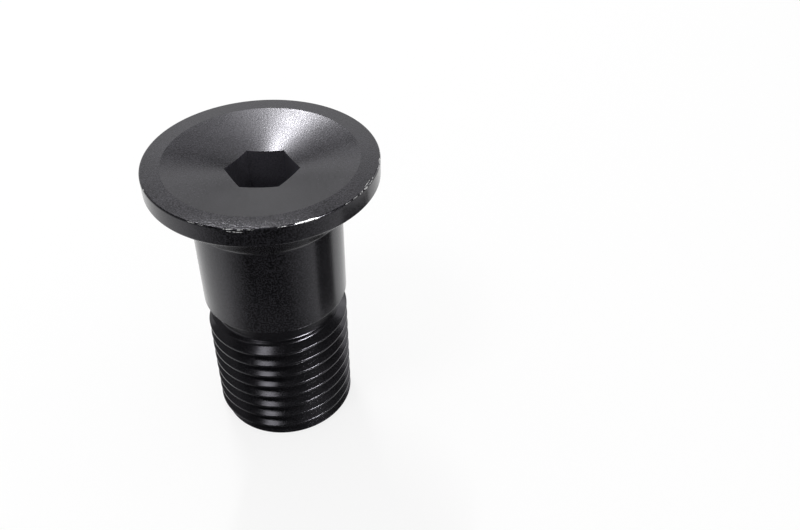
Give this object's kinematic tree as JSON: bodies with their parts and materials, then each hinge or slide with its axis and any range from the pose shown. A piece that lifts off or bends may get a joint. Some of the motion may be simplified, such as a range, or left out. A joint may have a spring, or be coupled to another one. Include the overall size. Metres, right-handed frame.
{
  "type": "pivot bolt",
  "caption": "Black pivot bolt with a flat countersunk head, dished face, hexagon socket, plain bearing shank and a short threaded end.",
  "frame": {"origin": "middle of the threaded tip's flat end, on which the bolt stands", "axes": "+Z along the bolt's axis, from the tip to the head"},
  "size_m": [0.0182, 0.0182, 0.0253],
  "materials": {
    "black_anodised_alloy": "black anodised over a turned surface, fine speckle, bright metal where edges are worn"
  },
  "bodies": {
    "root": {"pivot_bolt": "black_anodised_alloy"}
  },
  "joints": []
}
